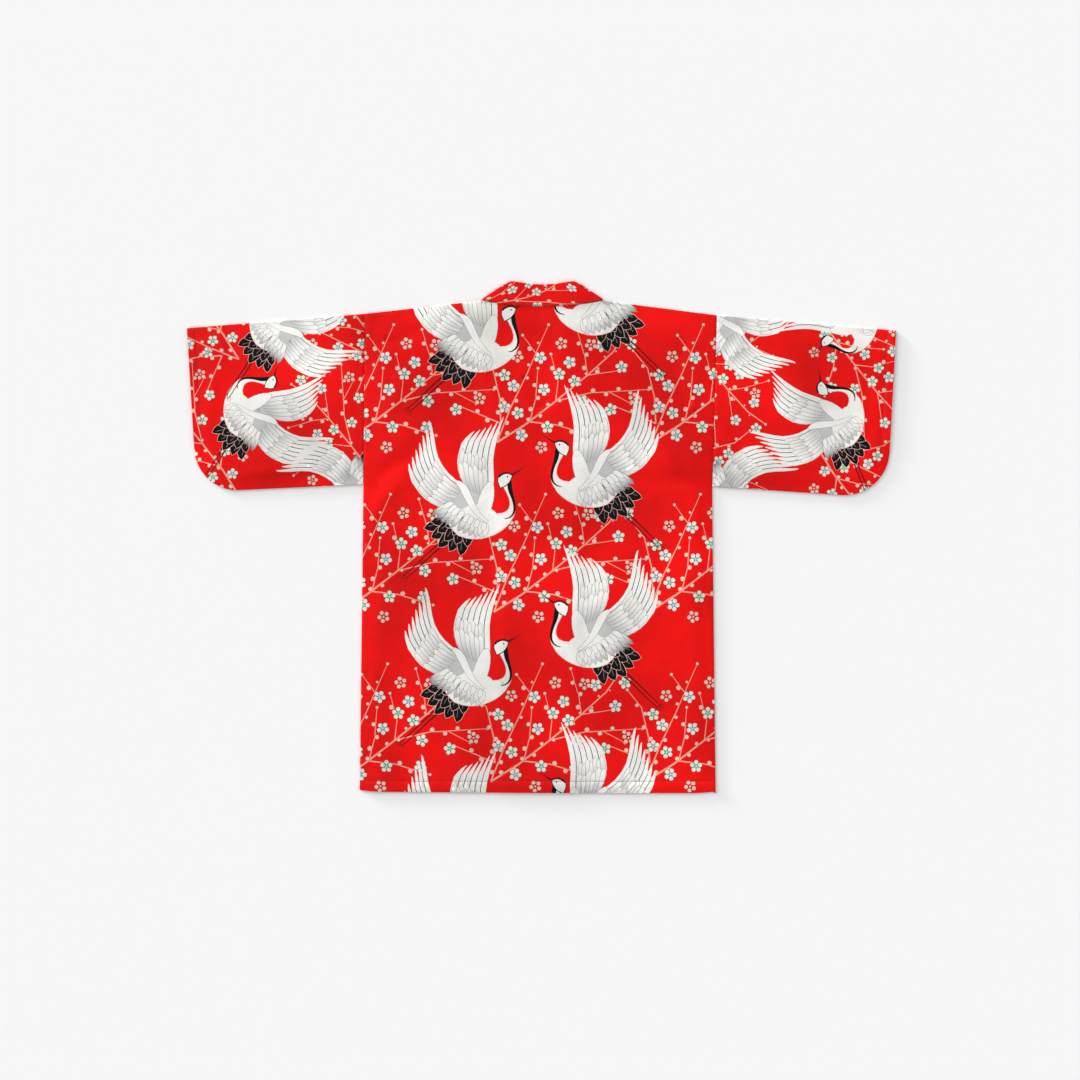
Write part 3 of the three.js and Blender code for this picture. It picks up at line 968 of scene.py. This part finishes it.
def thread_material():
    """Shiny twisted thread, a little darker than the cloth, with painted shade in the grooves of its twist.
    """
    material, tree, shader = principled("thread")
    where = node(tree, "ShaderNodeTexCoord").outputs["Object"]
    twist = node(tree, "ShaderNodeTexWave", {"Vector": where, "Scale": 500.0}, bands_direction="DIAGONAL")
    # Painted shade: the thread's colour is darker in the grooves of the twist, where the bump below sinks it
    ramp = node(tree, "ShaderNodeValToRGB", {"Fac": twist.outputs["Fac"]})
    ramp.color_ramp.elements[0].color = (0.12, 0.008, 0.007, 1)
    ramp.color_ramp.elements[1].color = (0.24, 0.014, 0.011, 1)
    tree.links.new(ramp.outputs["Color"], shader.inputs["Base Color"])
    bump = bumped(tree, twist.outputs["Fac"], 0.4, THREAD_HEIGHT)
    tree.links.new(bump.outputs[0], shader.inputs["Normal"])
    shader.inputs["Roughness"].default_value = 0.45
    shader.inputs["Sheen Weight"].default_value = 0.2
    return material


PRINTED = cloth_material("printed_cloth", True)
WRONG_SIDE = cloth_material("cloth_inside", False)
THREAD = thread_material()

# Stitches
STITCH = 3.1  # length of one
STITCH_STEP = 3.8
STITCH_WIDTH = 0.8
PRESSED = 0.35  # how far the stitches that lie on the floor are pressed into the cloth
PRESSED_BELOW = 1.0  # at heights under this
SPOTS = np.array([0, 0.25, 0.75, 1.0])  # shares of a stitch's length
SWELLS = (0.35, 1.0, 1.0, 0.35)  # its width there, as a share of STITCH_WIDTH
LIFTS = (-0.12, 0.02, 0.02, -0.12)  # its foot's height there over the cloth
AROUND = np.linspace(0, math.pi, 5)


def stitches(name, lines, place, flip=False):
    """Rows of small raised stitches along flat lines on a piece."""
    verts, faces = [], []
    for line in lines:
        line = resampled(line, 0.5, closed=False)
        run = runs(line)
        for k in range(int(run[-1] // STITCH_STEP)):
            start = (k + 0.5) * STITCH_STEP - STITCH / 2
            flat = np.stack([np.interp(start + STITCH * SPOTS, run, line[:, c]) for c in (0, 1)], 1)
            p = place(flat)
            du = place(flat + (NUDGE, 0)) - p
            dv = place(flat + (0, NUDGE)) - p
            up = unit(np.cross(du, dv)) * (-1 if flip else 1)
            p = p - up * np.where(p[:, 2:] < PRESSED_BELOW, PRESSED, 0)
            across = np.cross(up, unit(p[-1] - p[0]))
            base, n = len(verts), len(AROUND)
            for j, (swell, lift) in enumerate(zip(SWELLS, LIFTS)):
                reach = STITCH_WIDTH / 2 * swell
                for a in AROUND:
                    side = across[j] * math.cos(a) * reach
                    rise = up[j] * (math.sin(a) * reach * 1.1 + lift)
                    verts.append(p[j] + side + rise)
            for j in range(len(SPOTS) - 1):
                for q in range(base + j * n, base + j * n + n - 1):
                    faces.append((q, q + 1, q + n + 1, q + n))
    return smooth_object(name, np.array(verts), faces, (THREAD,))


def finished(cloth, thread, replaced):
    """Hangs a piece of cloth and its stitches under the root, and hides the part of the model that they
    replace.
    """
    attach(cloth, "root")
    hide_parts(replaced)
    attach(thread, "root")


# The back


def body_edge(side, n, lift=0.0):
    ys = np.linspace(side["hem"][1] + lift, side["shoulder"][1], n)
    return xy(side["sign"] * side_x(side, ys), ys)


def back_outline():
    across = np.linspace(-1, 1, 121)
    width = np.where(across < 0, SIDES["left"]["hem"][0] + HEM_X, SIDES["right"]["hem"][0] - HEM_X)
    hem = xy(HEM_X + across * width, hem_y(across))
    right = body_edge(SIDES["right"], 60)
    left = body_edge(SIDES["left"], 60)
    xs = np.linspace(SIDES["right"]["shoulder"][0], -SIDES["left"]["shoulder"][0], 150)
    top = xy(xs, top_y(xs))
    return np.concatenate([hem[:-1], right[:-1], top[:-1], left[::-1][:-1]])


def place_back(p):
    x, y = p[:, 0], p[:, 1]
    reach = to_side(x, y)
    hem = y - HEM_Y
    z = back_top(x, y)
    z = z + stitch_groove(hem - HEM_DEPTH, 0.8) + puckers(x, hem - HEM_DEPTH, 9, 0.10)
    z = z + puckers(y, reach, 12, 0.12) + puckers(x, top_y(x) - y, 12, 0.10)
    edge = np.minimum(np.minimum(reach, top_y(x) - y), hem - 2)
    return np.stack([x, y, z - rolled(edge, EDGE_RADIUS)], 1)


def make_back():
    hem_line = xy(np.linspace(*HEM_LINE, 150), HEM_Y + HEM_DEPTH)
    guides = [hem_line + (0, d) for d in (0, -1.2, 1.2, 3.6)]
    cloth = cloth_shell("cloth_back", back_outline(), body_print(), place_back, guides, 8.5)
    thread = stitches("stitches_back", [hem_line + (0, -0.2)], place_back)
    finished(cloth, thread, "back")


# The fronts


def place_front(p):
    x, y = p[:, 0], p[:, 1]
    reach = to_side(x, y)
    edge = np.minimum(reach, np.minimum(y - HEM_Y - FRONT_RISE, top_y(x) - y))
    return np.stack([x, y, FRONT_LIFT + rolled(edge, FRONT_RADIUS)], 1)


def make_front(name, side):
    sign = side["sign"]
    outer = body_edge(side, 50, FRONT_RISE)
    ys = np.linspace(HEM_Y + FRONT_RISE, NECK_Y - GAP, 120)
    inner = xy(middle_x(ys) + sign * (band_seam(ys) + GAP), ys)
    outline = np.concatenate([outer, inner[::-1]])
    start, inset = FRONT_HEM_LINE
    reach = sorted((sign * (side["hem"][0] - inset), HEM_X + sign * start))
    hem_line = xy(np.linspace(*reach, 70), HEM_Y + FRONT_RISE + HEM_DEPTH)
    cloth = cloth_shell("cloth_front_" + name, outline, front_print(sign), place_front, [hem_line], 9.0, True)
    thread = stitches("stitches_front_" + name, [hem_line], place_front, True)
    finished(cloth, thread, "front_" + name)


# The sleeves


def arc(p, corner, q, n):
    """A round corner from p to q."""
    t = np.linspace(0, 1, n)[:, None]
    weights = (1 - t) ** 2, 2 * ARC_WEIGHT * t * (1 - t), t**2
    return (weights[0] * p + weights[1] * corner + weights[2] * q) / sum(weights)


def left_of(start, end, x, y):
    """How far points lie to the left of a line."""
    way = unit(end - start)
    return (y - start[1]) * way[0] - (x - start[0]) * way[1]


def make_sleeve(name, side):
    sign = side["sign"]
    cuff, corner = np.array(side["cuff"]), np.array(side["corner"])
    armpit, shoulder = (np.array(side[k]) + (GAP, 0) for k in ("armpit", "shoulder"))
    arc_start = corner + unit(armpit - corner) * side["arc"]
    arc_end = corner + unit(cuff - corner) * side["arc"]
    foot = np.concatenate([[armpit], arc(arc_start, corner, arc_end, 40)])
    slope = (cuff[1] - shoulder[1]) / (cuff[0] - shoulder[0])

    def fold_y(out):
        return shoulder[1] + slope * (out - shoulder[0])

    # Distances in plan to the edges, where out is x counted outwards
    foot_line = resampled(foot, 6.0, closed=False)

    def to_foot(out, y):
        best = np.full(len(out), 1e9)
        for a, b in zip(foot_line[:-1], foot_line[1:]):
            way = b - a
            t = clamp(((out - a[0]) * way[0] + (y - a[1]) * way[1]) / (way @ way))
            best = np.minimum(best, np.hypot(out - a[0] - t * way[0], y - a[1] - t * way[1]))
        return best

    def place(p):
        x = p[:, 0]
        out = sign * x
        beyond = p[:, 1] - fold_y(out)
        run = np.abs(beyond)
        turn = np.minimum(run / FOLD, math.pi / 2)
        y = fold_y(out) - FOLD * (1 - np.cos(turn)) - np.maximum(run - FOLD * math.pi / 2, 0)
        foot_gap = to_foot(out, y)
        at_foot = rolled(foot_gap, FOLD)
        cuff_gap = left_of(arc_end, cuff, out, y)
        arm_gap = left_of(shoulder, armpit, out, y)
        rise = (
            smooth(np.minimum(foot_gap, fold_y(out) - y) / SEAM_REACH_SLEEVE)
            * lerp(SEAM_KEEP, 1, smooth(arm_gap / SEAM_REACH_SLEEVE))
            * lerp(HEM_KEEP, 1, smooth(cuff_gap / HEM_REACH))
        )
        hem = HEM_EXTRA * (1 - smooth((cuff_gap - CUFF_HEM_DEPTH) / HEM_STEP)) * smooth(foot_gap / 12)
        top = FOLD * (1 + np.sin(turn)) + np.maximum(0, rise * (LOFT + creases(x, y))) - at_foot
        groove = stitch_groove(cuff_gap - CUFF_HEM_DEPTH, 0.75)
        top = top + (hem + groove - rolled(arm_gap, 1.2)) * smooth(run / 8)
        top = top + puckers(y, cuff_gap - CUFF_HEM_DEPTH, 8, 0.09) * smooth(run / 12)
        top = top + (puckers(y, arm_gap, 12, 0.12) + puckers(x, foot_gap, 10, 0.14)) * smooth(run / 20)
        bottom = FOLD * (1 - np.sin(turn)) + at_foot
        return np.stack([x, y, np.where(beyond < 0, top, bottom)], 1)

    def unfolded(line):
        return xy(line[:, 0], 2 * fold_y(line[:, 0]) - line[:, 1])

    outline = np.concatenate([foot, [cuff], unfolded(foot)[::-1], [shoulder]]) * (sign, 1)
    heads = resampled([shoulder + (0.5, 0), cuff - (0.5, 0)], 5.0, closed=False)
    heads[:, 1] = fold_y(heads[:, 0])
    folds = [(heads + (0, d)) * (sign, 1) for d in FOLD_LINES]
    inward = unit((cuff - arc_end)[::-1] * (-1, 1)) * CUFF_HEM_DEPTH
    cuff_line = resampled([arc_end + inward, cuff + inward - (0, 1)], 5.0, closed=False)
    hems = [line * (sign, 1) for line in (cuff_line, unfolded(cuff_line))]
    guides = folds + [line + (d, 0) for line in hems for d in (-1.3, 0, 1.3, 3.6 * -sign)]
    cloth = cloth_shell("cloth_sleeve_" + name, outline, sleeve_print(name), place, guides)
    thread = stitches("stitches_sleeve_" + name, hems, place)
    finished(cloth, thread, "sleeve_" + name)


# The collar


def collar_top_y(t):
    return COLLAR_TOP_Y - COLLAR_TOP_DIP * (1 - t**2) - COLLAR_TOP_DROP * abs(t) ** COLLAR_DROP_POWER


def collar_lines():
    """Cross lines of the right half, from the hem to the middle of the back.

    Each one has the point at the seam, the point at the free edge, the way that the band's outer side faces,
    and 1 where it lies on the back.
    """
    lines = []
    tip = np.array([NECK_HALF, NECK_Y])
    peak = np.array([COLLAR_TOP_HALF, collar_top_y(1)])
    for y in np.linspace(HEM_Y + FRONT_RISE, NECK_Y, 120):
        slant = smooth((y - NECK_Y + SLANT_REACH) / SLANT_REACH)
        free = (lerp(band_free(y), peak[0], slant), y + (peak[1] - tip[1]) * slant, BAND / 2)
        lines.append(((band_seam(y), y, BAND / 2), free, (0, 0, -1), 0))
    away = unit(np.array([peak[1] - tip[1], tip[0] - peak[0]]))
    for angle in np.linspace(0, math.pi, 13)[1:-1]:
        out = away * TURN_RADIUS * math.sin(angle)
        z = BAND / 2 + TURN_RADIUS * (1 - math.cos(angle))
        outer = (*(away * math.sin(angle)), -math.cos(angle))
        lines.append(((*(tip + out), z), (*(peak + out), z), outer, 0))
    z = BAND / 2 + 2 * TURN_RADIUS
    for t in np.linspace(1, 0, 40):
        lines.append(((NECK_HALF * t, neck_y(t), z), (COLLAR_TOP_HALF * t, collar_top_y(t), z), (0, 0, 1), 1))
    return lines


def make_collar():
    half = collar_lines()
    columns = [np.array([line[k] for line in half], float) for k in range(4)]
    seam, free, outer = (np.concatenate([c[:-1] * (-1, 1, 1), c[::-1]]) for c in columns[:3])
    on_back = np.concatenate([columns[3][:-1], columns[3][::-1]])
    middle = (seam + free) / 2
    run = runs(middle)
    length = run[-1]
    radius = BAND / 2
    straight = BAND_WIDTH - radius
    width = 2 * straight + math.pi * radius

    def between(table, a):
        return np.stack([np.interp(a, run, table[:, k]) for k in (0, 1, 2)], 1)

    def place(p):
        a, w = p[:, 0], p[:, 1]
        turn = clamp((w - straight) / (math.pi * radius)) * math.pi
        beyond = np.maximum(w - straight - math.pi * radius, 0)
        reach = np.minimum(w, straight) + radius * np.sin(turn) - beyond
        level = np.cos(turn) * (1 - rolled(np.minimum(w, width - w), radius) / radius)
        s, f, o = between(seam, a), between(free, a), unit(between(outer, a))
        point = s + (f - s) * (reach / BAND_WIDTH)[:, None] + o * (level * radius)[:, None]
        sag = COLLAR_SAG * smooth((SAG_HALF - np.abs(point[:, 0])) / SAG_REACH) * np.interp(a, run, on_back)
        point[:, 2] += -sag + puckers(a, w, 10, 0.08) * (level > 0.9)
        point[:, 0] += middle_x(point[:, 1])
        return point

    outline = np.array([(0, 0), (length, 0), (length, width), (0, width)], float)
    along = np.arange(1.0, length, 5.0)
    rounds = [straight + math.pi * radius * k / 6 for k in range(7)] + [1.2, width - 1.2]
    guides = [xy(along, w) for w in rounds]
    bends = np.nonzero(np.abs(outer[:, 2]) < 0.999)[0]
    bends = np.unique(np.concatenate([bends - 1, bends, bends + 1]))
    across = np.arange(0.5, width, 5.0)
    guides += [xy(run[k], across) for k in bends]
    cloth = cloth_shell("cloth_collar", outline, collar_print(length), place, guides, rows=6)
    seam_line = xy(np.arange(2.0, length - 1, 4.0), 3.2)
    thread = stitches("stitches_collar", [seam_line], place)
    finished(cloth, thread, "collar")


# The picture: the camera looks straight down, and its middle is a little beside the coat's
PICTURE = 1836  # millimetres across
PICTURE_X = -2.55
PICTURE_Y = -4.7
LENS = 85
SENSOR = 36
CAMERA_HEIGHT = PICTURE * LENS / SENSOR

# Studio light: soft, from the upper left, and even over the whole floor
SUNS = {"key": ((1.0, -0.8, -0.5), 1.85, 44), "low": ((1.0, -0.8, -0.11), 3.8, 7)}  # way, power and spread
SKY_POWER = 0.715
FLOOR_REACH = 60.0  # in metres, like the next one
FLOOR_Z = -0.0003  # just under the stitches of the fronts


def make_camera():
    data = bpy.data.cameras.new("camera")
    data.lens = LENS
    data.sensor_width = SENSOR
    camera = linked("camera", data)
    camera.location = Vector((PICTURE_X, PICTURE_Y, CAMERA_HEIGHT)) * MM
    bpy.context.scene.camera = camera


def sun(name, way, power, spread):
    data = bpy.data.lights.new(name, "SUN")
    data.energy = power
    data.angle = math.radians(spread)
    linked(name, data).rotation_euler = Vector(way).to_track_quat("-Z", "Y").to_euler()


def make_stage():
    mesh = bpy.data.meshes.new("floor")
    corners = [(x * FLOOR_REACH, y * FLOOR_REACH, 0) for x, y in ((-1, -1), (1, -1), (1, 1), (-1, 1))]
    mesh.from_pydata(corners, [], [(0, 1, 2, 3)])
    floor = linked("floor", mesh)
    floor.location.z = FLOOR_Z
    material, _, shader = principled("floor")
    shader.inputs["Base Color"].default_value = (0.9, 0.9, 0.9, 1)
    shader.inputs["Roughness"].default_value = 0.9
    shader.inputs["Specular IOR Level"].default_value = 0.1
    mesh.materials.append(material)
    for name, sizes in SUNS.items():
        sun(name, *sizes)
    world = bpy.data.worlds.new("world")
    world.use_nodes = True
    background = world.node_tree.nodes["Background"]
    background.inputs["Color"].default_value = (1, 1, 1, 1)
    background.inputs["Strength"].default_value = SKY_POWER
    bpy.context.scene.world = world
    bpy.context.scene.view_settings.view_transform = "Standard"


make_camera()
make_stage()
make_back()
for make in (make_front, make_sleeve):
    for side_name, side_sizes in SIDES.items():
        make(side_name, side_sizes)
make_collar()
